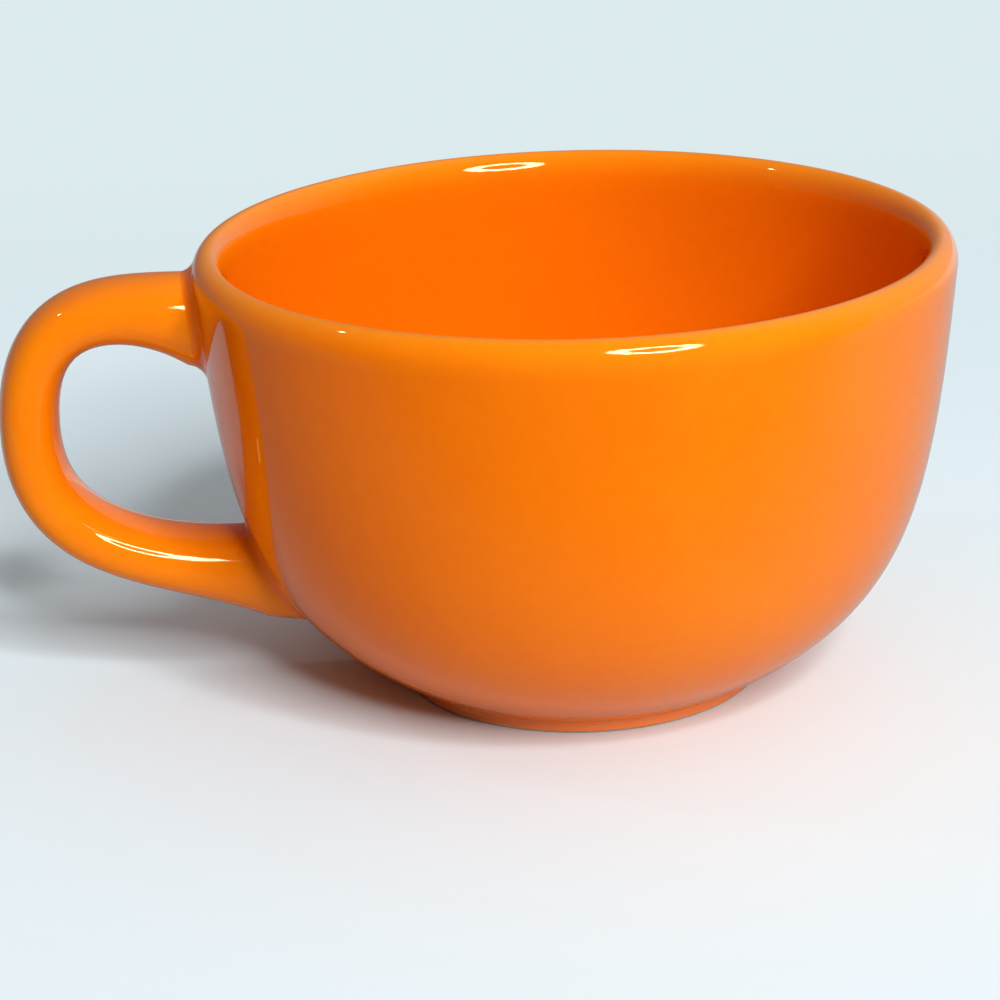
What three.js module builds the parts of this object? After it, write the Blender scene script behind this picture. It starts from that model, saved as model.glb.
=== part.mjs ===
// Handled cereal bowl: a deep round stoneware bowl with one loop handle, luted on with slip.
// Millimetres, +Z up. The bowl stands on its foot ring at z = 0 and the handle points along -X.
import * as THREE from 'three';

const { degToRad, lerp } = THREE.MathUtils;

// Bowl body: overall sizes, lip and floor
const RIM_DIAMETER = 133;
const BOWL_HEIGHT = 80.2;
const LIP_THICKNESS = 5.2;
const LIP_ROUND = 1.8; // how far the lip's outer rounding comes down
const FLOOR_THICKNESS = 6;

// Bowl wall: slopes from the horizontal, and pulls as shares of each curve's chord
const BELLY_ANGLE = degToRad(28.5); // outside, where the belly leaves the foot
const BELLY_PULL_RATIO = 0.367;
const WALL_ANGLE = degToRad(85.3); // inside and outside, just under the lip
const WALL_PULL_RATIO = 0.564;
const INNER_WALL_PULL_RATIO = 0.68;
const INNER_FLOOR_PULL_RATIO = 0.5;

// Foot ring, turned in the body's own clay
const FOOT_DIAMETER = 65;
const FOOT_HEIGHT = 2.1;
const FOOT_RING_WIDTH = 4;
const FOOT_RECESS = 1.6; // the underside's height above the table
const FOOT_EDGE = 0.7; // rounding of the ring's edges

// Loop handle: an oval section swept round one curve, fuller at both ends
const HANDLE_REACH = 34.8; // from the rim's edge to the handle's outer face
const HANDLE_THICKNESS = 10.4;
const HANDLE_WIDTH = 17;
const UPPER_END_THICKNESS = 16.8;
const LOWER_END_THICKNESS = 18;
const UPPER_END_DROP = 11.7; // from the rim down to the middle of the upper end
const LOWER_END_HEIGHT = 21.5;
const OUTERMOST_HEIGHT = 49.6;
const UPPER_END_ANGLE = degToRad(16); // both ends leave the wall a little upwards
const LOWER_END_ANGLE = degToRad(9);
const UPPER_PULL_RATIO = 0.548;
const LOWER_PULL_RATIO = 0.44;
const FLARE_POWER = 6; // how late the section swells towards an end

// Slip joints between the handle's ends and the wall
const SLIP_DEPTH = 2.2; // also the radius of the slip's concave fillet
const SEAM_GAP = 0.3; // clearance between touching pieces

// Fineness of the facets
const BOWL_SIDES = 64;
const WALL_STEPS = 16;
const ROUND_STEPS = 4;
const HANDLE_STEPS = 40;
const SECTION_SIDES = 28;
const FILLET_STEPS = 4;
const FACE_SHARES = [0.35, 0.7]; // rings across an end face, as shares of its section

const rimRadius = RIM_DIAMETER / 2;
const footRadius = FOOT_DIAMETER / 2;
const lipMiddle = rimRadius - LIP_THICKNESS / 2;

// A plane curve that leaves one point at an angle and arrives at another point at an angle
function bow(from, leaveAngle, leavePull, to, arriveAngle, arrivePull) {
  const chord = from.distanceTo(to);
  const origin = new THREE.Vector2();
  const along = (angle, pull) => new THREE.Vector2(chord * pull, 0).rotateAround(origin, angle);
  const leave = from.clone().add(along(leaveAngle, leavePull));
  const arrive = to.clone().sub(along(arriveAngle, arrivePull));
  return new THREE.CubicBezierCurve(from, leave, arrive, to);
}

// The value between two bounds where a steadily growing measure is zero
function bisect(measure, low, high) {
  for (let halving = 0; halving < 40; halving++) {
    const middle = (low + high) / 2;
    if (measure(middle) < 0) {
      low = middle;
    } else {
      high = middle;
    }
  }
  return (low + high) / 2;
}

// Bowl profile, as radius and height: underside, foot ring, outer wall, lip, inner wall
const outerWall = bow(
  new THREE.Vector2(footRadius, FOOT_HEIGHT), BELLY_ANGLE, BELLY_PULL_RATIO,
  new THREE.Vector2(rimRadius, BOWL_HEIGHT - LIP_ROUND), WALL_ANGLE, WALL_PULL_RATIO,
);
const innerTop = new THREE.Vector2(rimRadius - LIP_THICKNESS, BOWL_HEIGHT - LIP_THICKNESS / 2);
const innerFloor = new THREE.Vector2(0, FOOT_RECESS + FLOOR_THICKNESS);
const innerWall = bow(
  innerTop, WALL_ANGLE + Math.PI, INNER_WALL_PULL_RATIO,
  innerFloor, Math.PI, INNER_FLOOR_PULL_RATIO,
);
const lipOutside = new THREE.EllipseCurve(
  lipMiddle, BOWL_HEIGHT - LIP_ROUND, LIP_THICKNESS / 2, LIP_ROUND, 0, Math.PI / 2,
);
const lipInside = new THREE.EllipseCurve(
  lipMiddle, BOWL_HEIGHT - LIP_THICKNESS / 2, LIP_THICKNESS / 2, LIP_THICKNESS / 2, Math.PI / 2, Math.PI,
);

function footPath() {
  const edge = Math.min(FOOT_EDGE, FOOT_RECESS / 2, FOOT_HEIGHT, FOOT_RING_WIDTH / 3);
  const ringInside = footRadius - FOOT_RING_WIDTH;
  const path = new THREE.Path();
  path.moveTo(0, FOOT_RECESS);
  path.lineTo(ringInside - edge, FOOT_RECESS);
  path.absarc(ringInside - edge, FOOT_RECESS - edge, edge, Math.PI / 2, 0, true);
  path.absarc(ringInside + edge, edge, edge, Math.PI, Math.PI * 1.5, false);
  path.absarc(footRadius - edge, edge, edge, -Math.PI / 2, 0, false);
  path.lineTo(footRadius, FOOT_HEIGHT);
  return path;
}

// Points along a run of curves, with the shared end points taken once
function trace(curves) {
  const points = [];
  for (const curve of curves) {
    const round = curve.isEllipseCurve ? ROUND_STEPS : 1;
    const steps = curve.isCubicBezierCurve ? WALL_STEPS : round;
    for (const point of curve.getPoints(steps)) {
      if (points.length === 0 || point.distanceTo(points.at(-1)) > 1e-6) {
        points.push(point);
      }
    }
  }
  return points;
}

function bowlBodyGeometry() {
  const profile = trace([...footPath().curves, outerWall, lipOutside, lipInside, innerWall]);
  return new THREE.LatheGeometry(profile, BOWL_SIDES).rotateX(Math.PI / 2);
}

// The outside of the bowl that a handle can meet, from the foot's top to the crown of the lip
const outside = trace([outerWall, lipOutside]);

function wallRadius(height) {
  const share = bisect((t) => outerWall.getPoint(t).y - height, 0, 1);
  return outerWall.getPoint(share).x;
}

// How far a point stands off the bowl's outside, negative within it, and the wall's normal there
function standoff(point) {
  const flat = new THREE.Vector2(Math.hypot(point.x, point.y), point.z);
  let nearest = { reach: Infinity };
  for (let i = 0; i + 1 < outside.length; i++) {
    const run = outside[i + 1].clone().sub(outside[i]);
    const offset = flat.clone().sub(outside[i]);
    const share = THREE.MathUtils.clamp(offset.dot(run) / run.lengthSq(), 0, 1);
    const reach = offset.clone().addScaledVector(run, -share).length();
    if (reach < nearest.reach) {
      nearest = { reach, side: Math.sign(offset.dot(new THREE.Vector2(run.y, -run.x))), run };
    }
  }
  const { x: outward, y: upward } = nearest.run.normalize();
  const normal = new THREE.Vector3(point.x, point.y, 0).setLength(upward).setZ(-outward);
  return { distance: nearest.side * nearest.reach, normal };
}

// Handle centre line, as x and z: travel 0 at the upper end, 1 at the outermost point, 2 at the lower end
const upperEnd = new THREE.Vector2(-wallRadius(BOWL_HEIGHT - UPPER_END_DROP), BOWL_HEIGHT - UPPER_END_DROP);
const lowerEnd = new THREE.Vector2(-wallRadius(LOWER_END_HEIGHT), LOWER_END_HEIGHT);
const outermost = new THREE.Vector2(HANDLE_THICKNESS / 2 - rimRadius - HANDLE_REACH, OUTERMOST_HEIGHT);
const upperHalf = bow(
  upperEnd, Math.PI - UPPER_END_ANGLE, UPPER_PULL_RATIO,
  outermost, -Math.PI / 2, UPPER_PULL_RATIO,
);
const lowerHalf = bow(
  outermost, -Math.PI / 2, LOWER_PULL_RATIO,
  lowerEnd, -LOWER_END_ANGLE, LOWER_PULL_RATIO,
);

function centre(travel) {
  return travel < 1 ? upperHalf.getPoint(travel) : lowerHalf.getPoint(travel - 1);
}

// A point on the handle's skin, or a share of the way from the centre line to it. The oval is fuller than an
// ellipse, so that the rounding of its two edges has half its thickness as radius.
function skinPoint(travel, angle, share) {
  const step = 1e-4;
  const ahead = centre(travel + step).sub(centre(travel - step)).normalize();
  const flare = Math.min(Math.abs(travel - 1), 1) ** FLARE_POWER;
  const endThickness = travel < 1 ? UPPER_END_THICKNESS : LOWER_END_THICKNESS;
  const thickness = lerp(HANDLE_THICKNESS, endThickness, flare);
  const fullness = (1 - thickness / HANDLE_WIDTH) / 2;
  const across = share * Math.cos(angle) * thickness / 2;
  const aside = share * Math.sin(angle) * (1 + fullness * Math.cos(angle) ** 2) * HANDLE_WIDTH / 2;
  const middle = centre(travel);
  return new THREE.Vector3(middle.x - ahead.y * across, aside, middle.y + ahead.x * across);
}

// Each end: a travel inside the wall, a travel well clear of it, and the turn that keeps faces outward
const ENDS = {
  upper: { within: -0.4, clear: 0.8, turn: 1 },
  lower: { within: 2.4, clear: 1.2, turn: -1 },
};

// The travel at which a line of the handle's skin stands off the wall by a distance
function travelAt(end, angle, distance, share) {
  const measure = (travel) => standoff(skinPoint(travel, angle, share)).distance - distance;
  return bisect(measure, end.within, end.clear);
}

function facePoint(end, angle, distance, share) {
  return skinPoint(travelAt(end, angle, distance, share), angle, share);
}

function ringOf(turn, makePoint) {
  return Array.from({ length: SECTION_SIDES }, (_, i) => makePoint(turn * 2 * Math.PI * i / SECTION_SIDES));
}

// Rings across an end face that follows the wall at a distance, from its middle outwards
function faceRings(end, distance) {
  return FACE_SHARES.map((share) => ringOf(end.turn, (angle) => facePoint(end, angle, distance, share)));
}

// A closed skin over rings of points, with a pole at either end
function closedSkin(firstPole, rings, lastPole) {
  const points = [firstPole, ...rings.flat(), lastPole];
  const at = (ring, i) => 1 + ring * SECTION_SIDES + (i % SECTION_SIDES);
  const lastRing = rings.length - 1;
  const index = [];
  for (let i = 0; i < SECTION_SIDES; i++) {
    index.push(0, at(0, i), at(0, i + 1));
    for (let ring = 0; ring < lastRing; ring++) {
      index.push(at(ring, i), at(ring + 1, i), at(ring + 1, i + 1));
      index.push(at(ring, i), at(ring + 1, i + 1), at(ring, i + 1));
    }
    index.push(at(lastRing, i), points.length - 1, at(lastRing, i + 1));
  }
  const geometry = new THREE.BufferGeometry().setFromPoints(points);
  geometry.setIndex(index);
  geometry.computeVertexNormals();
  return geometry;
}

function loopHandleGeometry() {
  const { upper, lower } = ENDS;
  const seat = SLIP_DEPTH + SEAM_GAP;
  const lines = ringOf(upper.turn, (angle) => ({
    angle,
    start: travelAt(upper, angle, seat, 1),
    finish: travelAt(lower, angle, seat, 1),
  }));
  const sweepRing = (progress) => lines.map(
    ({ angle, start, finish }) => skinPoint(lerp(start, finish, progress), angle, 1),
  );
  const sweep = Array.from({ length: HANDLE_STEPS + 1 }, (_, step) => sweepRing(step / HANDLE_STEPS));
  const lowerFace = faceRings({ ...lower, turn: upper.turn }, seat).reverse();
  const rings = [...faceRings(upper, seat), ...sweep, ...lowerFace];
  return closedSkin(facePoint(upper, 0, seat, 0), rings, facePoint(lower, 0, seat, 0));
}

// The slip's fillet at a height above the wall: the handle's outline, spread along the wall by a round
function filletRing(end, height) {
  const spread = SLIP_DEPTH - Math.sqrt(SLIP_DEPTH ** 2 - (SLIP_DEPTH - height) ** 2);
  const middle = facePoint(end, 0, height, 0);
  return ringOf(end.turn, (angle) => {
    const point = facePoint(end, angle, height, 1);
    const away = point.clone().sub(middle).projectOnPlane(standoff(point).normal).normalize();
    point.addScaledVector(away, spread);
    const { distance, normal } = standoff(point);
    return point.addScaledVector(normal, height - distance);
  });
}

function slipJointGeometry(end) {
  const heightAt = (step) => lerp(SEAM_GAP, SLIP_DEPTH, step / FILLET_STEPS);
  const fillet = Array.from({ length: FILLET_STEPS + 1 }, (_, step) => filletRing(end, heightAt(step)));
  const handleSide = faceRings(end, SLIP_DEPTH).reverse();
  const rings = [...faceRings(end, SEAM_GAP), ...fillet, ...handleSide];
  return closedSkin(facePoint(end, 0, SEAM_GAP, 0), rings, facePoint(end, 0, SLIP_DEPTH, 0));
}

// Orange glaze over stoneware, a little deeper where it gathers on the slip's fillets
function piece(name, geometry, colour, roughness) {
  const glaze = new THREE.MeshStandardMaterial({ color: colour, roughness, metalness: 0 });
  const mesh = new THREE.Mesh(geometry, glaze);
  mesh.name = name;
  return mesh;
}

const bowl = new THREE.Group();
bowl.add(piece('bowl_body', bowlBodyGeometry(), 0xf5780c, 0.12));

const handle = new THREE.Group();
handle.add(piece('loop_handle', loopHandleGeometry(), 0xf88414, 0.12));
handle.add(piece('upper_slip_joint', slipJointGeometry(ENDS.upper), 0xc85200, 0.15));
handle.add(piece('lower_slip_joint', slipJointGeometry(ENDS.lower), 0xc85200, 0.15));
bowl.add(handle);

// The origin is under the middle of the whole part, handle included
const part = new THREE.Group();
bowl.position.x = HANDLE_REACH / 2;
part.add(bowl);

export default part;
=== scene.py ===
"""A handled cereal bowl in orange glaze: the visual model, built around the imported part.

Metres, in the part's own frame: +Z up, the bowl on its foot at z = 0, the handle towards -X.
"""
import math

import bpy
from mathutils import Matrix, Vector


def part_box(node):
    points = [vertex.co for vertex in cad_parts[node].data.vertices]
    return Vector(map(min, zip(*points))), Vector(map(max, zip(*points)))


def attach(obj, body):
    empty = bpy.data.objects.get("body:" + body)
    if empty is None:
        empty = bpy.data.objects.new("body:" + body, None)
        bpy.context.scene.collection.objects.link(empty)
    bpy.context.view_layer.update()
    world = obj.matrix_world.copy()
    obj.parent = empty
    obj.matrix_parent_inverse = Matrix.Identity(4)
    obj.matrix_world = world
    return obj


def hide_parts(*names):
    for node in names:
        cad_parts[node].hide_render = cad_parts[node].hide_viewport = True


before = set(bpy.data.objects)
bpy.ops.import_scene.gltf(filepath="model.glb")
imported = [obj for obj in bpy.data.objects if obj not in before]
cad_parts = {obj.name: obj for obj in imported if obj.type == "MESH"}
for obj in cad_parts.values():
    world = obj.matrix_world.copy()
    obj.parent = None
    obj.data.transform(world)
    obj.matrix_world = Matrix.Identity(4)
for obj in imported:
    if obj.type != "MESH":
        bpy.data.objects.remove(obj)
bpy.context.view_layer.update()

MM = 0.001

# The bowl's main sizes, from the frame
bowl_low, bowl_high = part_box("bowl_body")
RIM_RADIUS = (bowl_high.x - bowl_low.x) / 2
BOWL_HEIGHT = bowl_high.z
BOWL_AXIS = Vector(((bowl_low.x + bowl_high.x) / 2, 0, 0))

# The bowl's turned profile: lip, floor, wall and foot ring
LIP_THICKNESS = 6 * MM
WALL_END_DROP = 1.8 * MM
LIP_OUTER_DROP = 4.6 * MM
LIP_INNER_DROP = 5 * MM
LIP_WALL_PULL = 0.46
LIP_CROWN_PULL = 0.3
FLOOR_THICKNESS = 6 * MM
BELLY_ANGLE = math.radians(28.5)
BELLY_PULL = 0.367
WALL_ANGLE = math.radians(85.3)
WALL_PULL = 0.564
INNER_WALL_PULL = 0.68
INNER_FLOOR_PULL = 0.5
FOOT_RADIUS = 32.5 * MM
FOOT_HEIGHT = 2.1 * MM
FOOT_RING_WIDTH = 4 * MM
FOOT_RECESS = 1.6 * MM
FOOT_EDGE = 0.7 * MM
CREASE_FILLET = 1.3 * MM
CREASE_PULL = 0.45

# The handle's centre line and oval section
handle_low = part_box("loop_handle")[0]
HANDLE_THICKNESS = 10.4 * MM
HANDLE_WIDTH = 17 * MM
UPPER_END_THICKNESS = 16.8 * MM
LOWER_END_THICKNESS = 18 * MM
UPPER_END_HEIGHT = BOWL_HEIGHT - 11.7 * MM
LOWER_END_HEIGHT = 21.5 * MM
OUTERMOST_HEIGHT = 49.6 * MM
UPPER_END_ANGLE = math.radians(16)
LOWER_END_ANGLE = math.radians(9)
UPPER_PULL = 0.548
LOWER_PULL = 0.44
FLARE_POWER = 6
SLIP_FILLET = 2.2 * MM

# How fine the meshes are
BOWL_SIDES = 192
WALL_STEPS = 64
ROUND_STEPS = 12
HANDLE_SIDES = 72
HANDLE_RINGS = 150
END_RINGS = 6
FILLET_STEPS = 12
CENTRE_LINE_STEPS = 240
SEARCH_HALVINGS = 24

# Where pieces run a little into each other, so that no gap shows
SKIM = 0.02 * MM
SINK = 0.4 * MM
SEAM_REACH = 0.02 * MM

# Glaze: how deep it lies, from 0 where it has run thin to 1 where it has gathered; some of these depths also
# carry painted light and shade, as noted
THIN_AND_LIT_GLAZE = 0.24
HANDLE_GLAZE = 0.41
EVEN_GLAZE = 0.5
INSIDE_GLAZE = 0.64
CREASE_GLAZE = 0.54
ROOT_LIGHTENED_GLAZE = 0.37
FILLET_POOL_AND_SHADE = 0.85
LIP_THIN_AND_LIT_REACH = 7 * MM
INSIDE_REACH = 9 * MM
CREASE_POOL_REACH = 1.2 * MM
ROOT_LIGHTENED_REACH = 7 * MM

# Painted shade and light outside: depth added on the handle's side, which lies in shade, and taken off on the
# far side, which is lit, over a span across the bowl in rim radii
HANDLE_SIDE_PAINTED_SHADE = 0.32
FAR_SIDE_PAINTED_LIGHT = -0.06
SIDE_SHADE_SPAN = (-1.0, 0.2)

# The glaze's colours by depth, its gloss and its small unevenness
THIN_TONE = (1.0, 0.34, 0.008, 1)
EVEN_TONE = (0.95, 0.188, 0.001, 1)
# The deepest tone is pooled glaze, and also painted shade for the shaded corners in the fillets
POOLED_AND_SHADE_TONE = (0.78, 0.11, 0.001, 1)
REFLECTION_TINT = (1.0, 0.74, 0.42, 1)
GLAZE_IOR = 1.6
MOTTLE_SIZE = 24 * MM
MOTTLE_DEPTH = 0.03
GRAIN_SIZE = 2.2 * MM
GRAIN_DEPTH = 0.02
GLOSS_PATCH_SIZE = 9 * MM
GLOSS_ROUGHNESS = (0.03, 0.055)
RIPPLE_SIZE = 18 * MM
RIPPLE_DEPTH = 0.035 * MM
PORE_SIZE = 1.6 * MM
PORE_DEPTH = 0.0012 * MM

# The bare clay under the foot, and a paler tone above it, which is a painted reflection of the pale floor
CLAY_TONE = (0.62, 0.50, 0.37, 1)
CLAY_SPECK_TONE = (0.48, 0.37, 0.26, 1)
CLAY_SPECK_SIZE = 0.9 * MM
CLAY_ROUGHNESS = 0.8
WIPED_EDGE_SIZE = 3 * MM
WIPED_EDGE_WANDER = 0.12 * MM
WIPED_EDGE_BLUR = 0.08 * MM
BARE_CLAY_HEIGHT = 0.35 * MM
FLOOR_REFLECTION_HEIGHT = 3.6 * MM
FLOOR_REFLECTION_SHARE = 0.75
FLOOR_REFLECTION_TONE = (1.0, 0.27, 0.09, 1)


class Nodes:
    """Adds nodes to a tree. Each input is given as a value, or as the output of another node."""

    def __init__(self, tree):
        self.tree = tree

    def add(self, kind, inputs=None, **settings):
        node = self.tree.nodes.new(kind)
        for name, value in settings.items():
            setattr(node, name, value)
        for key, value in (inputs or {}).items():
            if isinstance(value, bpy.types.NodeSocket):
                self.tree.links.new(value, node.inputs[key])
            else:
                node.inputs[key].default_value = value
        return node

    def number(self, operation, *values):
        return self.add("ShaderNodeMath", dict(enumerate(values)), operation=operation).outputs[0]

    def vector(self, operation, *values):
        return self.add("ShaderNodeVectorMath", dict(enumerate(values)), operation=operation).outputs[0]

    def dot(self, first, second):
        node = self.add("ShaderNodeVectorMath", {0: first, 1: second}, operation="DOT_PRODUCT")
        return node.outputs["Value"]

    def scaled(self, vector, factor):
        node = self.add("ShaderNodeVectorMath", {0: vector, "Scale": factor}, operation="SCALE")
        return node.outputs[0]

    def ramp(self, value, low, high, to_low=0.0, to_high=1.0, smooth=False):
        shape = "SMOOTHSTEP" if smooth else "LINEAR"
        inputs = {0: value, 1: low, 2: high, 3: to_low, 4: to_high}
        return self.add("ShaderNodeMapRange", inputs, interpolation_type=shape).outputs[0]

    def mixed(self, factor, first, second):
        node = self.add("ShaderNodeMix", {0: factor, 2: first, 3: second}, data_type="FLOAT")
        return node.outputs[0]

    def seen(self):
        """1 where the camera looks straight at something, else 0, and the same for its mirror images."""
        path = self.add("ShaderNodeLightPath").outputs
        mirrored = self.number("MAXIMUM", path["Is Glossy Ray"], path["Is Transmission Ray"])
        return path["Is Camera Ray"], mirrored


class GeometryTree(Nodes):
    """A Geometry Nodes tree with named inputs, from one geometry to another."""

    def __init__(self, name, inputs):
        super().__init__(bpy.data.node_groups.new(name, "GeometryNodeTree"))
        ports = self.tree.interface
        ports.new_socket("Geometry", in_out="INPUT", socket_type="NodeSocketGeometry")
        for label, kind in inputs.items():
            ports.new_socket(label, in_out="INPUT", socket_type="NodeSocket" + kind)
        ports.new_socket("Geometry", in_out="OUTPUT", socket_type="NodeSocketGeometry")
        self.given = self.tree.nodes.new("NodeGroupInput").outputs
        self.workings = set()

    def stored(self, geometry, name, value, kind="FLOAT"):
        inputs = {"Geometry": geometry, "Name": name, "Value": value}
        node = self.add("GeometryNodeStoreNamedAttribute", inputs, data_type=kind, domain="POINT")
        self.workings.add(name)
        return node.outputs["Geometry"]

    def attribute(self, name, kind="FLOAT"):
        return self.add("GeometryNodeInputNamedAttribute", {"Name": name}, data_type=kind).outputs[0]

    def place(self):
        return self.add("GeometryNodeInputPosition").outputs[0]

    def deliver(self, geometry):
        """Closes seams and poles, drops the workings and ends the tree."""
        inputs = {"Geometry": geometry, "Distance": SEAM_REACH}
        shape = self.add("GeometryNodeMergeByDistance", inputs)
        for name in sorted(self.workings - {"glaze_depth"}):
            shape = self.add("GeometryNodeRemoveAttribute", {"Geometry": shape.outputs[0], "Name": name})
        smooth = self.add("GeometryNodeSetShadeSmooth", {"Geometry": shape.outputs[0]})
        real = self.add("GeometryNodeRealizeInstances", {"Geometry": smooth.outputs[0]})
        inputs = {"Geometry": real.outputs[0], "Material": self.given["Glaze"]}
        coated = self.add("GeometryNodeSetMaterial", inputs)
        self.add("NodeGroupOutput", {"Geometry": coated.outputs[0]})
        return self.tree


def line_object(name, points, attributes):
    """A bare line of points, with a number for each point under each attribute's name."""
    mesh = bpy.data.meshes.new(name)
    mesh.from_pydata(points, [(i, i + 1) for i in range(len(points) - 1)], [])
    for label, values in attributes.items():
        mesh.attributes.new(label, "FLOAT", "POINT").data.foreach_set("value", values)
    made = bpy.data.objects.new(name, mesh)
    bpy.context.scene.collection.objects.link(made)
    return made


def grown(seed, tree, values):
    """Runs a tree on an object with these inputs, and leaves the object with the plain mesh that it makes."""
    modifier = seed.modifiers.new("shape", "NODES")
    modifier.node_group = tree
    for port in tree.interface.items_tree:
        if port.in_out == "INPUT" and port.name in values:
            modifier[port.identifier] = values[port.name]
    depsgraph = bpy.context.evaluated_depsgraph_get()
    mesh = bpy.data.meshes.new_from_object(seed.evaluated_get(depsgraph), depsgraph=depsgraph)
    seed.modifiers.remove(modifier)
    line, seed.data = seed.data, mesh
    bpy.data.meshes.remove(line)
    mesh.name = seed.name
    mesh.materials.clear()
    mesh.materials.append(values["Glaze"])
    mesh.polygons.foreach_set("material_index", [0] * len(mesh.polygons))
    return seed


def bow_point(share, start, leave_angle, leave_pull, end, arrive_angle, arrive_pull):
    """A point of a curve that leaves one point at an angle and arrives at another at an angle."""
    chord = (end - start).length
    leave = start + chord * leave_pull * Vector((math.cos(leave_angle), math.sin(leave_angle)))
    arrive = end - chord * arrive_pull * Vector((math.cos(arrive_angle), math.sin(arrive_angle)))
    rest = 1 - share
    ends = rest ** 3 * start + share ** 3 * end
    return ends + 3 * rest ** 2 * share * leave + 3 * rest * share ** 2 * arrive


def bow(steps, *shape):
    return [bow_point(i / steps, *shape) for i in range(steps + 1)]


def arc(middle, across, up, first, last, steps=ROUND_STEPS):
    """Points of an ellipse's arc between two angles in degrees."""
    angles = [math.radians(first + (last - first) * i / steps) for i in range(steps + 1)]
    return [middle + Vector((across * math.cos(a), up * math.sin(a))) for a in angles]


# The bowl's profile, as radius and height
lip_middle = RIM_RADIUS - LIP_THICKNESS / 2
LIP_CROWN = Vector((lip_middle, BOWL_HEIGHT))
OUTER_WALL = (
    Vector((FOOT_RADIUS, FOOT_HEIGHT)), BELLY_ANGLE, BELLY_PULL,
    Vector((RIM_RADIUS, BOWL_HEIGHT - WALL_END_DROP)), WALL_ANGLE, WALL_PULL,
)
inner_lean = (LIP_INNER_DROP - LIP_THICKNESS / 2) / math.tan(WALL_ANGLE)
INNER_WALL = (
    Vector((RIM_RADIUS - LIP_THICKNESS - inner_lean, BOWL_HEIGHT - LIP_INNER_DROP)),
    WALL_ANGLE + math.pi, INNER_WALL_PULL,
    Vector((0, FOOT_RECESS + FLOOR_THICKNESS)), math.pi, INNER_FLOOR_PULL,
)


def foot_profile():
    inside = FOOT_RADIUS - FOOT_RING_WIDTH
    return [
        Vector((0, FOOT_RECESS)),
        *arc(Vector((inside - FOOT_EDGE, FOOT_RECESS - FOOT_EDGE)), FOOT_EDGE, FOOT_EDGE, 90, 0),
        *arc(Vector((inside + FOOT_EDGE, FOOT_EDGE)), FOOT_EDGE, FOOT_EDGE, 180, 270),
        *arc(Vector((FOOT_RADIUS - FOOT_EDGE, FOOT_EDGE)), FOOT_EDGE, FOOT_EDGE, 270, 360),
    ]


def outside_profile():
    """The glaze-filled crease over the foot, the belly and wall, and the lip up to its crown."""
    shoulder = Vector((wall_radius(BOWL_HEIGHT - LIP_OUTER_DROP), BOWL_HEIGHT - LIP_OUTER_DROP))
    wall = [point for point in bow(WALL_STEPS, *OUTER_WALL) if point.y < shoulder.y]
    belly = wall[1]
    under = Vector((FOOT_RADIUS, FOOT_HEIGHT - CREASE_FILLET))
    crease = bow(ROUND_STEPS, under, math.pi / 2, CREASE_PULL, belly, BELLY_ANGLE, CREASE_PULL)
    lip = bow(ROUND_STEPS, shoulder, WALL_ANGLE, LIP_WALL_PULL, LIP_CROWN, math.pi, LIP_CROWN_PULL)
    return crease + wall[2:] + lip


def inside_profile():
    start, down, _ = INNER_WALL[:3]
    lip = bow(ROUND_STEPS, LIP_CROWN, math.pi, LIP_CROWN_PULL, start, down, LIP_WALL_PULL)
    return lip[1:] + bow(WALL_STEPS, *INNER_WALL)[1:]


def standing_line(points):
    """Profile points of radius and height, stood up in the plane of the handle."""
    return [(p.x, 0, p.y) for p in points]


def turning_tree():
    """Turns a profile once round the bowl's axis, as on a wheel, with painted shade: a deeper tone towards
    the handle's side and a paler one on the far, lit side.
    """
    inputs = {"Sides": "Int", "Rim radius": "Float", "Axis": "Vector", "Glaze": "Material"}
    nodes = GeometryTree("turned on a wheel", inputs)
    given = nodes.given
    line = nodes.add("GeometryNodeMeshToCurve", {"Mesh": given["Geometry"]})
    inward = nodes.number("MULTIPLY", given["Rim radius"], -1.0)
    to_rim = nodes.add("ShaderNodeCombineXYZ", {"X": inward}).outputs[0]
    quarter_turn = (math.pi / 2, 0, 0)
    inputs = {"Geometry": line.outputs[0], "Translation": to_rim, "Rotation": quarter_turn}
    laid = nodes.add("GeometryNodeTransform", inputs).outputs[0]
    inputs = {"Resolution": given["Sides"], "Radius": given["Rim radius"]}
    rail = nodes.add("GeometryNodeCurvePrimitiveCircle", inputs).outputs[0]
    skin = nodes.add("GeometryNodeCurveToMesh", {"Curve": rail, "Profile Curve": laid}).outputs[0]
    outward = nodes.add("GeometryNodeFlipFaces", {"Mesh": skin}).outputs[0]
    across = nodes.add("ShaderNodeSeparateXYZ", {0: nodes.place()}).outputs["X"]
    side = nodes.number("DIVIDE", across, given["Rim radius"])
    # Painted shade: the tone deepens towards the handle's shaded side and pales on the far, lit side
    shade_added = nodes.ramp(side, *SIDE_SHADE_SPAN, HANDLE_SIDE_PAINTED_SHADE, FAR_SIDE_PAINTED_LIGHT)
    side_shade = nodes.number("MULTIPLY", shade_added, nodes.attribute("drained_share"))
    depth = nodes.number("ADD", nodes.attribute("glaze_depth"), side_shade)
    glazed = nodes.stored(outward, "glaze_depth", depth)
    inputs = {"Geometry": glazed, "Translation": given["Axis"]}
    return nodes.deliver(nodes.add("GeometryNodeTransform", inputs).outputs[0])


def turned(name, points, attributes, glaze):
    values = {"Sides": BOWL_SIDES, "Rim radius": RIM_RADIUS, "Axis": BOWL_AXIS, "Glaze": glaze}
    return grown(line_object(name, standing_line(points), attributes), wheel, values)


wheel = turning_tree()


def wall_radius(height):
    """The outer wall's radius at a height, found by halving."""
    low, high = 0.0, 1.0
    for _ in range(SEARCH_HALVINGS):
        middle = (low + high) / 2
        if bow_point(middle, *OUTER_WALL).y < height:
            low = middle
        else:
            high = middle
    return bow_point(low, *OUTER_WALL).x


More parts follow.
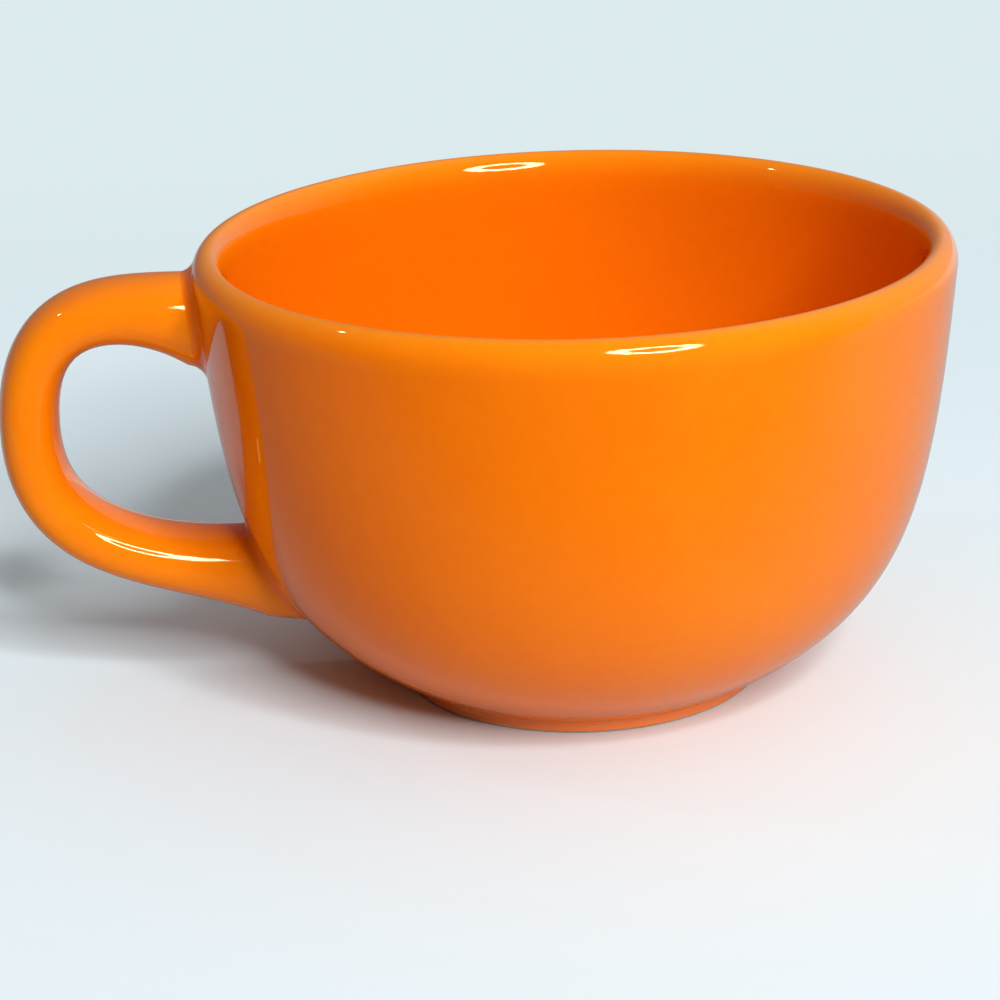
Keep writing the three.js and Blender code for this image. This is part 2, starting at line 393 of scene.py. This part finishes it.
# The handle's centre line, as x from the bowl's axis and height: travel 0 to 1 from the upper end to the
# outermost point, and 1 to 2 from there to the lower end
outermost = Vector((handle_low.x - BOWL_AXIS.x + HANDLE_THICKNESS / 2, OUTERMOST_HEIGHT))
UPPER_HALF = (
    Vector((-wall_radius(UPPER_END_HEIGHT), UPPER_END_HEIGHT)), math.pi - UPPER_END_ANGLE, UPPER_PULL,
    outermost, -math.pi / 2, UPPER_PULL,
)
LOWER_HALF = (
    outermost, -math.pi / 2, LOWER_PULL,
    Vector((-wall_radius(LOWER_END_HEIGHT), LOWER_END_HEIGHT)), -LOWER_END_ANGLE, LOWER_PULL,
)

# The line runs on into the wall at both ends
FIRST_TRAVEL = -0.3
LAST_TRAVEL = 2.35


def handle_centre(travel):
    point = bow_point(travel, *UPPER_HALF) if travel < 1 else bow_point(travel - 1, *LOWER_HALF)
    return (point.x + BOWL_AXIS.x, 0, point.y)


def handle_thickness(travel):
    """The oval's thickness, which swells towards the ends."""
    flare = min(abs(travel - 1), 1) ** FLARE_POWER
    end_thickness = UPPER_END_THICKNESS if travel < 1 else LOWER_END_THICKNESS
    return HANDLE_THICKNESS + (end_thickness - HANDLE_THICKNESS) * flare


def handle_line(name):
    span = LAST_TRAVEL - FIRST_TRAVEL
    travels = [FIRST_TRAVEL + span * i / CENTRE_LINE_STEPS for i in range(CENTRE_LINE_STEPS + 1)]
    attributes = {"thickness": [handle_thickness(travel) for travel in travels]}
    return line_object(name, [handle_centre(travel) for travel in travels], attributes)


class HandleTree(GeometryTree):
    """A tree that lays a grid on the handle's oval sweep, at known gaps from the bowl's wall."""

    def __init__(self, name, inputs):
        shared = {"Wall": "Object", "Width": "Float", "Sides": "Int", "Sink": "Float", "Glaze": "Material"}
        super().__init__(name, shared | inputs)
        self.line = self.add("GeometryNodeMeshToCurve", {"Mesh": self.given["Geometry"]}).outputs[0]
        wall = self.add("GeometryNodeObjectInfo", {"Object": self.given["Wall"]}).outputs["Geometry"]
        outward = self.add("GeometryNodeInputNormal").outputs[0]
        self.wall = self.stored(wall, "outward", outward, "FLOAT_VECTOR")

    def grid(self, rows, way):
        """A grid with its angle round the section, one way or the other, and its row counted from 0."""
        columns = self.number("ADD", self.given["Sides"], 1)
        inputs = {"Size X": 1.0, "Size Y": 1.0, "Vertices X": columns, "Vertices Y": rows}
        grid = self.add("GeometryNodeMeshGrid", inputs).outputs[0]
        split = self.add("ShaderNodeSeparateXYZ", {0: self.place()}).outputs
        circle = self.number("MULTIPLY", way, 2 * math.pi)
        turn = self.number("MULTIPLY", self.number("ADD", split["X"], 0.5), circle)
        row = self.number("MULTIPLY", self.number("ADD", split["Y"], 0.5), self.number("SUBTRACT", rows, 1))
        grid = self.stored(grid, "row", row)
        return self.stored(grid, "angle", turn)

    def skin(self, travel):
        """The grid's points on the handle's skin at this travel, and the centre line there.

        The oval is fuller than an ellipse, so that its two edges are rounded by half its thickness.
        """
        inputs = {"Curves": self.line, "Value": self.attribute("thickness"), "Factor": travel}
        line = self.add("GeometryNodeSampleCurve", inputs, data_type="FLOAT", mode="FACTOR").outputs
        width = self.given["Width"]
        cosine = self.number("COSINE", self.attribute("angle"))
        sine = self.number("SINE", self.attribute("angle"))
        fullness = self.number("MULTIPLY_ADD", self.number("DIVIDE", line["Value"], width), -0.5, 0.5)
        full = self.number("MULTIPLY_ADD", self.number("MULTIPLY", cosine, cosine), fullness, 1.0)
        half = self.number("MULTIPLY", self.attribute("share"), 0.5)
        up = self.number("MULTIPLY", cosine, line["Value"])
        aside = self.number("MULTIPLY", self.number("MULTIPLY", sine, full), width)
        upright = self.vector("CROSS_PRODUCT", line["Tangent"], (0, 1, 0))
        upward = self.scaled(upright, self.number("MULTIPLY", up, half))
        sideways = self.scaled((0, 1, 0), self.number("MULTIPLY", aside, half))
        offset = self.vector("ADD", upward, sideways)
        return self.vector("ADD", line["Position"], offset), line["Position"]

    def standoff(self, point):
        """How far a point stands off the wall, negative within it, and the wall's outward normal there."""
        inputs = {"Geometry": self.wall, "Sample Position": point}
        nearest = self.add("GeometryNodeProximity", inputs, target_element="FACES").outputs["Position"]
        outward = self.attribute("outward", "FLOAT_VECTOR")
        inputs = {"Mesh": self.wall, "Value": outward, "Sample Position": point}
        normal = self.add("GeometryNodeSampleNearestSurface", inputs, data_type="FLOAT_VECTOR").outputs[0]
        return self.dot(self.vector("SUBTRACT", point, nearest), normal), normal

    def seated(self, grid, label, clear, within, gap):
        """Stores the travel where each point has its gap, between one clear of the wall and one within it."""
        span = self.number("SUBTRACT", within, clear)
        grid = self.stored(grid, label, self.mixed(0.5, clear, within))
        start = self.add("GeometryNodeRepeatInput")
        end = self.add("GeometryNodeRepeatOutput")
        start.pair_with_output(end)
        start.inputs["Iterations"].default_value = SEARCH_HALVINGS
        self.tree.links.new(grid, start.inputs["Geometry"])
        travel = self.attribute(label)
        distance, _ = self.standoff(self.skin(travel)[0])
        towards = self.number("SIGN", self.number("SUBTRACT", distance, gap))
        # The search starts half way, so its first step is a quarter of the span
        halving = self.number("POWER", 0.5, self.number("ADD", start.outputs["Iteration"], 2))
        step = self.number("MULTIPLY", self.number("MULTIPLY", span, halving), towards)
        moved = self.stored(start.outputs["Geometry"], label, self.number("ADD", travel, step))
        self.tree.links.new(moved, end.inputs["Geometry"])
        return end.outputs["Geometry"]


# The shares of the centre line that lie within the wall and clear of it, at the upper and lower end
UPPER_WITHIN, UPPER_CLEAR = 0.0, 0.3
LOWER_WITHIN, LOWER_CLEAR = 1.0, 0.7


def handle_tree():
    """Sweeps the oval round the centre line, from the wall to the wall, with end faces that follow it."""
    nodes = HandleTree("looped handle", {"Rings": "Int", "End rings": "Int"})
    ends = nodes.given["End rings"]
    rows = nodes.number("ADD", nodes.given["Rings"], nodes.number("MULTIPLY", ends, 2))
    grid = nodes.grid(rows, -1.0)
    row = nodes.attribute("row")
    last = nodes.number("SUBTRACT", rows, 1)
    from_end = nodes.number("MINIMUM", row, nodes.number("SUBTRACT", last, row))
    grid = nodes.stored(grid, "share", nodes.ramp(from_end, 0.0, ends))
    sunk = nodes.number("MULTIPLY", nodes.given["Sink"], -1.0)
    grid = nodes.seated(grid, "upper travel", UPPER_CLEAR, UPPER_WITHIN, sunk)
    grid = nodes.seated(grid, "lower travel", LOWER_CLEAR, LOWER_WITHIN, sunk)
    along = nodes.ramp(row, ends, nodes.number("SUBTRACT", last, ends))
    travel = nodes.mixed(along, nodes.attribute("upper travel"), nodes.attribute("lower travel"))
    skin, _ = nodes.skin(travel)
    swept = nodes.add("GeometryNodeSetPosition", {"Geometry": grid, "Position": skin}).outputs[0]
    distance, _ = nodes.standoff(nodes.place())
    # Painted light: the handle's tone pales a little towards the wall, against the shade that falls on its
    # ends there
    depth = nodes.ramp(distance, SLIP_FILLET, ROOT_LIGHTENED_REACH, ROOT_LIGHTENED_GLAZE, HANDLE_GLAZE, smooth=True)
    return nodes.deliver(nodes.stored(swept, "glaze_depth", depth))


def slip_tree():
    """A fillet of slip in the corner between the handle's skin and the wall, all round one end."""
    sizes = {"Steps": "Int", "Fillet": "Float", "Skim": "Float"}
    nodes = HandleTree("slip fillet", sizes | {"Way": "Float", "Clear": "Float", "Within": "Float"})
    given = nodes.given
    # Rows: the points of the round, a corner hidden in the clay, and the first point again
    rows = nodes.number("ADD", given["Steps"], 3)
    corner = nodes.number("ADD", given["Steps"], 1)
    grid = nodes.grid(rows, given["Way"])
    grid = nodes.stored(grid, "share", 1.0)
    row = nodes.number("MODULO", nodes.attribute("row"), nodes.number("ADD", given["Steps"], 2))
    hidden = nodes.number("COMPARE", row, corner, 0.5)
    turn = nodes.ramp(row, 0.0, given["Steps"], 0.0, math.pi / 2)

    def side(function):
        """The fillet's round, as a height over the wall or as a spread along it."""
        hollow = nodes.number("SUBTRACT", 1.0, nodes.number(function, turn))
        open_air = nodes.number("SUBTRACT", nodes.number("MULTIPLY", given["Fillet"], hollow), given["Skim"])
        return nodes.mixed(hidden, open_air, nodes.number("MULTIPLY", given["Sink"], -1.0))

    grid = nodes.stored(grid, "gap", side("COSINE"))
    grid = nodes.stored(grid, "spread", side("SINE"))
    # Deepest in the hollow's middle: pooled glaze, and painted shade where the corner between handle and wall
    # lies in shade
    pooled = nodes.number("SINE", nodes.number("MULTIPLY", turn, 2.0))
    grid = nodes.stored(grid, "glaze_depth", nodes.ramp(pooled, 0.0, 1.0, ROOT_LIGHTENED_GLAZE, FILLET_POOL_AND_SHADE))
    grid = nodes.seated(grid, "travel", given["Clear"], given["Within"], nodes.attribute("gap"))
    skin, centre = nodes.skin(nodes.attribute("travel"))
    _, normal = nodes.standoff(skin)
    across = nodes.vector("SUBTRACT", skin, centre)
    raised = nodes.scaled(normal, nodes.dot(across, normal))
    away = nodes.vector("NORMALIZE", nodes.vector("SUBTRACT", across, raised))
    spread = nodes.vector("ADD", skin, nodes.scaled(away, nodes.attribute("spread")))
    distance, normal = nodes.standoff(spread)
    lifted = nodes.scaled(normal, nodes.number("SUBTRACT", nodes.attribute("gap"), distance))
    inputs = {"Geometry": grid, "Position": nodes.vector("ADD", spread, lifted)}
    return nodes.deliver(nodes.add("GeometryNodeSetPosition", inputs).outputs[0])


def outside_glaze(point):
    """Thinner and paler towards the crown of the lip, partly painted light, deeper in the crease over the
    foot.
    """
    # Towards the crown the depth falls to the thin tone: thin glaze there, and painted light where the crown
    # faces the lamps above
    over_lit_lip = max(0, 1 - (point - LIP_CROWN).length / LIP_THIN_AND_LIT_REACH)
    in_crease = max(0, 1 - (point - OUTER_WALL[0]).length / CREASE_POOL_REACH)
    return EVEN_GLAZE + (THIN_AND_LIT_GLAZE - EVEN_GLAZE) * over_lit_lip + (CREASE_GLAZE - EVEN_GLAZE) * in_crease


def inside_glaze(point):
    """Thin and painted paler on the lip as outside, and deeper down the inner wall, where the glaze was
    poured.
    """
    poured = min(1, (point - LIP_CROWN).length / INSIDE_REACH)
    return outside_glaze(point) + (INSIDE_GLAZE - EVEN_GLAZE) * poured


def drained_share(point):
    """How much of the painted side shade shows at a point outside: none on the lip's crown, all of it below
    the lip.
    """
    return min(1, (point - LIP_CROWN).length / LIP_THIN_AND_LIT_REACH)


class Finish(Nodes):
    """A material whose colour, roughness and relief follow the place on the object."""

    def __init__(self, name):
        self.material = bpy.data.materials.new(name)
        self.material.use_nodes = True
        super().__init__(self.material.node_tree)
        self.shader = self.tree.nodes["Principled BSDF"]
        spot = self.add("ShaderNodeTexCoord").outputs["Object"]
        self.spot = self.add("ShaderNodeMapping", {"Vector": spot, "Location": -BOWL_AXIS}).outputs[0]

    def clouds(self, size, detail=2.0):
        """A soft random pattern with spots of about this size, mostly between 0.3 and 0.7."""
        inputs = {"Vector": self.spot, "Scale": 1 / size, "Detail": detail}
        return self.add("ShaderNodeTexNoise", inputs, noise_dimensions="3D").outputs["Fac"]

    def patches(self, size, low, high, contrast=0.3, detail=2.0):
        """Soft random patches of about this size, from one value to another."""
        return self.ramp(self.clouds(size, detail), contrast, 1 - contrast, low, high)

    def set(self, socket, value):
        if isinstance(value, bpy.types.NodeSocket):
            self.tree.links.new(value, self.shader.inputs[socket])
        else:
            self.shader.inputs[socket].default_value = value

    def colours(self, factor, stops):
        """A blend of colours along a factor, from pairs of place and colour."""
        node = self.add("ShaderNodeValToRGB", {"Fac": factor})
        while len(node.color_ramp.elements) < len(stops):
            node.color_ramp.elements.new(0.5)
        for element, (place, colour) in zip(node.color_ramp.elements, stops):
            element.position = place
            element.color = colour
        return node.outputs["Color"]

    def blended(self, factor, first, second):
        node = self.add("ShaderNodeMix", {0: factor, 6: first, 7: second}, data_type="RGBA")
        return node.outputs[2]

    def relief(self, height, depth, under=None):
        inputs = {"Height": height, "Distance": depth, "Strength": 1.0}
        if under is not None:
            inputs["Normal"] = under
        return self.add("ShaderNodeBump", inputs).outputs[0]


def glazed_stoneware():
    """Glossy orange glaze, mottled a little, over cream clay that is bare where the foot stands."""
    finish = Finish("glossy_orange_glaze")
    stored_depth = finish.add("ShaderNodeAttribute", attribute_name="glaze_depth").outputs["Fac"]
    mottle = finish.patches(MOTTLE_SIZE, -MOTTLE_DEPTH, MOTTLE_DEPTH, contrast=0.25)
    grain = finish.patches(GRAIN_SIZE, -GRAIN_DEPTH, GRAIN_DEPTH)
    depth = finish.number("ADD", stored_depth, finish.number("ADD", mottle, grain))
    glaze = finish.colours(depth, [(0.0, THIN_TONE), (0.5, EVEN_TONE), (1.0, POOLED_AND_SHADE_TONE)])
    height = finish.add("ShaderNodeSeparateXYZ", {0: finish.spot}).outputs["Z"]
    wiped_edge = finish.patches(WIPED_EDGE_SIZE, -WIPED_EDGE_WANDER, WIPED_EDGE_WANDER)
    over_foot = finish.number("SUBTRACT", finish.number("ADD", height, wiped_edge), BARE_CLAY_HEIGHT)
    glazed = finish.ramp(over_foot, 0.0, WIPED_EDGE_BLUR, smooth=True)
    clay_specks = finish.patches(CLAY_SPECK_SIZE, 0.0, 1.0, contrast=0.35, detail=4.0)
    clay = finish.colours(clay_specks, [(0.0, CLAY_SPECK_TONE), (1.0, CLAY_TONE)])
    # Painted reflection: just above the foot the glaze is paled towards the floor's pale tone
    floor_reflected = finish.ramp(height, FOOT_HEIGHT, FLOOR_REFLECTION_HEIGHT, FLOOR_REFLECTION_SHARE, 0.0, smooth=True)
    finish.set("Base Color", finish.blended(glazed, clay, finish.blended(floor_reflected, glaze, FLOOR_REFLECTION_TONE)))
    gloss = finish.patches(GLOSS_PATCH_SIZE, *GLOSS_ROUGHNESS)
    finish.set("Roughness", finish.mixed(glazed, CLAY_ROUGHNESS, gloss))
    ripple = finish.relief(finish.clouds(RIPPLE_SIZE, 1.0), RIPPLE_DEPTH)
    finish.set("Normal", finish.relief(finish.clouds(PORE_SIZE, 1.0), PORE_DEPTH, ripple))
    finish.set("IOR", GLAZE_IOR)
    finish.set("Specular Tint", REFLECTION_TINT)
    return finish.material


def shown(piece, *nodes, slot):
    """Puts a finished piece in the place of its solids."""
    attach(piece, "root")
    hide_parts(*nodes)


def build_bowl(glaze):
    outside = foot_profile() + outside_profile()
    inside = inside_profile()
    depths = [outside_glaze(point) for point in outside] + [inside_glaze(point) for point in inside]
    # Painted side shade, outside only and not on the lip's crown
    side_shade = [drained_share(point) for point in outside] + [0.0] * len(inside)
    attributes = {"glaze_depth": depths, "drained_share": side_shade}
    bowl = turned("glazed_bowl", outside + inside, attributes, glaze)
    shown(bowl, "bowl_body", slot="orange_glaze")


def build_handle(glaze):
    wall = turned("wall_outside", outside_profile(), {}, glaze)
    fitted = {"Wall": wall, "Width": HANDLE_WIDTH, "Sides": HANDLE_SIDES, "Sink": SINK, "Glaze": glaze}
    loop = {"Rings": HANDLE_RINGS, "End rings": END_RINGS}
    handle = grown(handle_line("glazed_handle"), handle_tree(), fitted | loop)
    shown(handle, "loop_handle", slot="orange_glaze")
    ends = {
        "upper": {"Way": -1.0, "Clear": UPPER_CLEAR, "Within": UPPER_WITHIN},
        "lower": {"Way": 1.0, "Clear": LOWER_CLEAR, "Within": LOWER_WITHIN},
    }
    fillets = slip_tree()
    size = {"Steps": FILLET_STEPS, "Fillet": SLIP_FILLET, "Skim": SKIM}
    for end, round_end in ends.items():
        slip = grown(handle_line(f"{end}_slip_fillet"), fillets, fitted | size | round_end)
        shown(slip, f"{end}_slip_joint", slot="pooled_glaze")
    bpy.data.objects.remove(wall)


# The stage: a pale floor that fades into a backdrop, with the places of the fades in metres from the bowl
FLOOR_SIDE = 6.0
FLOOR_TONE = (0.86, 0.97, 1.0, 1)
FLOOR_BOUNCE_TONE = (0.72, 0.755, 0.77, 1)
FLOOR_ROUGHNESS = 0.9
FLOOR_SHEEN = 0.1
BACKDROP_TONE = (0.72, 0.83, 0.85, 1)
BACKDROP_FADE = (0.14, 0.42)

# How the glaze mirrors the floor and the backdrop: dimmer in front and towards the handle
MIRRORED_DARK_TONE = (0.08, 0.08, 0.08, 1)
MIRRORED_FRONT_FADE = (-0.15, -0.04)
MIRRORED_SIDE_FADE = (-0.16, -0.02)
MIRRORED_NEAR_DIMMING = 0.25
MIRRORED_SIDE_DIMMING = 0.72
MIRRORED_BACKDROP_FADE = (-0.5, 0.1)
MIRRORED_BACKDROP_LIGHT = 0.3

# The room's soft light, the room that the camera sees and the one that the glaze mirrors, by direction
SKY_TONE = (0.90, 0.93, 0.95, 1)
PALE_BACKGROUND = 0.85
SIDE_LIGHT_SPAN = (-0.7, 0.7)
DIM_SIDE_LIGHT = 0.0
BRIGHT_SIDE_LIGHT = 0.34
TOP_LIGHT_SPAN = (0.55, 1.0)
TOP_LIGHT = 0.4
MIRRORED_ROOM_SPAN = (-0.5, 0.3)
DIM_MIRRORED_FRONT = 0.05
MIRRORED_BACK_SPAN = (-0.05, 0.35)
MIRRORED_BACK = 0.2
MIRRORED_BRIGHT_BACK = 0.58

# The ring lamp and the small side lamp, as their images in the glaze place them
LAMP_TONE = (0.97, 1.0, 1.03)
RING_AZIMUTH = math.radians(25.5)
RING_ELEVATION = math.radians(37)
RING_DISTANCE = 4.0
RING_RADIUS = 0.69
RING_LAMPS = 14
RING_LAMP_SIZE = 0.42
RING_WATTS = 163
SIDE_AZIMUTH = math.radians(-92)
SIDE_ELEVATION = math.radians(48)
SIDE_DISTANCE = 0.8
SIDE_LAMP_SIZE = 0.03
SIDE_WATTS = 0.15

# The camera, as the photograph was taken
SENSOR_WIDTH = 36
PHOTO_PIXELS = 1000
FOCAL_PIXELS = 3000
AIM_HEIGHT = 40 * MM
AIM_PIXEL = (577.5, 453.2)
VIEW_DISTANCE = 534.5 * MM
VIEW_AZIMUTH = math.radians(-5)
VIEW_ELEVATION = math.radians(18.9)
VIEW_ROLL = math.radians(-1.33)
STAGE_MIDDLE = BOWL_AXIS + Vector((0, 0, AIM_HEIGHT))


def towards(azimuth, elevation):
    """The direction from the bowl to a place. Azimuth 0 is the camera's side, and grows to the right."""
    round_bowl = VIEW_AZIMUTH + azimuth
    level = Vector((math.sin(round_bowl), -math.cos(round_bowl), 0))
    return level * math.cos(elevation) + Vector((0, 0, math.sin(elevation)))


def build_floor():
    """A plain white floor, which the camera and the glaze see fade into a pale cool backdrop."""
    half = FLOOR_SIDE / 2
    corners = [(-half, -half, 0), (half, -half, 0), (half, half, 0), (-half, half, 0)]
    mesh = bpy.data.meshes.new("floor")
    mesh.from_pydata(corners, [], [(0, 1, 2, 3)])
    floor = bpy.data.objects.new("floor", mesh)
    bpy.context.scene.collection.objects.link(floor)
    finish = Finish("pale_floor")
    spot = finish.add("ShaderNodeSeparateXYZ", {0: finish.spot}).outputs
    behind = spot["Y"]
    straight, mirrored = finish.seen()
    lit = finish.blended(straight, FLOOR_BOUNCE_TONE, FLOOR_TONE)
    near = MIRRORED_NEAR_DIMMING
    in_front = finish.ramp(behind, *MIRRORED_FRONT_FADE, 1.0, near, smooth=True)
    aslant = finish.number("ADD", spot["X"], behind)
    at_side = finish.ramp(aslant, *MIRRORED_SIDE_FADE, MIRRORED_SIDE_DIMMING, near, smooth=True)
    dimmed = finish.number("MULTIPLY", finish.number("MAXIMUM", in_front, at_side), mirrored)
    finish.set("Base Color", finish.blended(dimmed, lit, MIRRORED_DARK_TONE))
    finish.set("Roughness", FLOOR_ROUGHNESS)
    finish.set("Specular IOR Level", FLOOR_SHEEN)
    fade = finish.ramp(behind, *BACKDROP_FADE, smooth=True)
    light = finish.ramp(spot["X"], *MIRRORED_BACKDROP_FADE, MIRRORED_BACKDROP_LIGHT, 1.0, smooth=True)
    light = finish.mixed(straight, light, 1.0)
    backdrop = finish.add("ShaderNodeEmission", {"Color": BACKDROP_TONE, "Strength": light})
    faded = finish.number("MULTIPLY", fade, finish.number("MAXIMUM", straight, mirrored))
    inputs = {0: faded, 1: finish.shader.outputs[0], 2: backdrop.outputs[0]}
    surface = finish.add("ShaderNodeMixShader", inputs).outputs[0]
    finish.tree.links.new(surface, finish.tree.nodes["Material Output"].inputs["Surface"])
    mesh.materials.append(finish.material)


def build_sky():
    """Soft light, less from the handle's side. The camera sees a pale room, and the glaze a dimmer one."""
    sky = bpy.data.worlds.new("pale room")
    bpy.context.scene.world = sky
    sky.use_nodes = True
    nodes = Nodes(sky.node_tree)
    way = nodes.add("ShaderNodeTexCoord").outputs["Generated"]
    way = nodes.add("ShaderNodeSeparateXYZ", {0: way}).outputs
    aside = nodes.ramp(way["X"], *SIDE_LIGHT_SPAN, DIM_SIDE_LIGHT, BRIGHT_SIDE_LIGHT, smooth=True)
    above = nodes.ramp(way["Z"], *TOP_LIGHT_SPAN, 0.0, TOP_LIGHT, smooth=True)
    soft = nodes.number("ADD", aside, above)
    back = nodes.ramp(way["X"], *MIRRORED_BACK_SPAN, MIRRORED_BACK, MIRRORED_BRIGHT_BACK, smooth=True)
    room = nodes.ramp(way["Y"], *MIRRORED_ROOM_SPAN, DIM_MIRRORED_FRONT, back, smooth=True)
    straight, mirrored = nodes.seen()
    strength = nodes.mixed(straight, nodes.mixed(mirrored, soft, room), PALE_BACKGROUND)
    background = sky.node_tree.nodes["Background"]
    background.inputs["Color"].default_value = SKY_TONE
    sky.node_tree.links.new(strength, background.inputs["Strength"])


def build_lamp(name, place, side, watts):
    lamp = bpy.data.lights.new(name, "AREA")
    lamp.shape = "DISK"
    lamp.size = side
    lamp.energy = watts
    lamp.color = LAMP_TONE
    holder = bpy.data.objects.new(name, lamp)
    holder.location = place
    holder.rotation_euler = (STAGE_MIDDLE - place).to_track_quat("-Z", "Y").to_euler()
    bpy.context.scene.collection.objects.link(holder)


def build_lights():
    """A ring lamp over the camera's right, and a small lamp from the handle's side."""
    facing = towards(RING_AZIMUTH, RING_ELEVATION)
    spoke = facing.orthogonal().normalized() * RING_RADIUS
    for i in range(RING_LAMPS):
        turn = Matrix.Rotation(2 * math.pi * i / RING_LAMPS, 3, facing)
        place = STAGE_MIDDLE + RING_DISTANCE * facing + turn @ spoke
        build_lamp(f"ring_lamp_{i + 1}", place, RING_LAMP_SIZE, RING_WATTS / RING_LAMPS)
    side_place = STAGE_MIDDLE + SIDE_DISTANCE * towards(SIDE_AZIMUTH, SIDE_ELEVATION)
    build_lamp("side_lamp", side_place, SIDE_LAMP_SIZE, SIDE_WATTS)


def build_camera():
    lens = bpy.data.cameras.new("camera")
    lens.sensor_width = SENSOR_WIDTH
    lens.lens = SENSOR_WIDTH * FOCAL_PIXELS / PHOTO_PIXELS
    camera = bpy.data.objects.new("camera", lens)
    bpy.context.scene.collection.objects.link(camera)
    bpy.context.scene.camera = camera
    right = (AIM_PIXEL[0] - PHOTO_PIXELS / 2) / FOCAL_PIXELS
    up = (PHOTO_PIXELS / 2 - AIM_PIXEL[1]) / FOCAL_PIXELS
    level = Matrix.Rotation(VIEW_ROLL, 2) @ Vector((right, up))
    yaw = math.atan(level.x)
    pitch = math.atan2(level.y, math.hypot(1, level.x))
    place = Matrix.Translation(STAGE_MIDDLE + VIEW_DISTANCE * towards(0, VIEW_ELEVATION))
    facing = Matrix.Rotation(VIEW_AZIMUTH, 4, "Z") @ Matrix.Rotation(math.pi / 2 - VIEW_ELEVATION, 4, "X")
    aside = Matrix.Rotation(yaw, 4, "Y") @ Matrix.Rotation(-pitch, 4, "X")
    camera.matrix_world = place @ facing @ aside @ Matrix.Rotation(VIEW_ROLL, 4, "Z")


bpy.context.scene.view_settings.view_transform = "Standard"
build_camera()
orange_glaze = glazed_stoneware()
build_bowl(orange_glaze)
build_handle(orange_glaze)
build_floor()
build_sky()
build_lights()
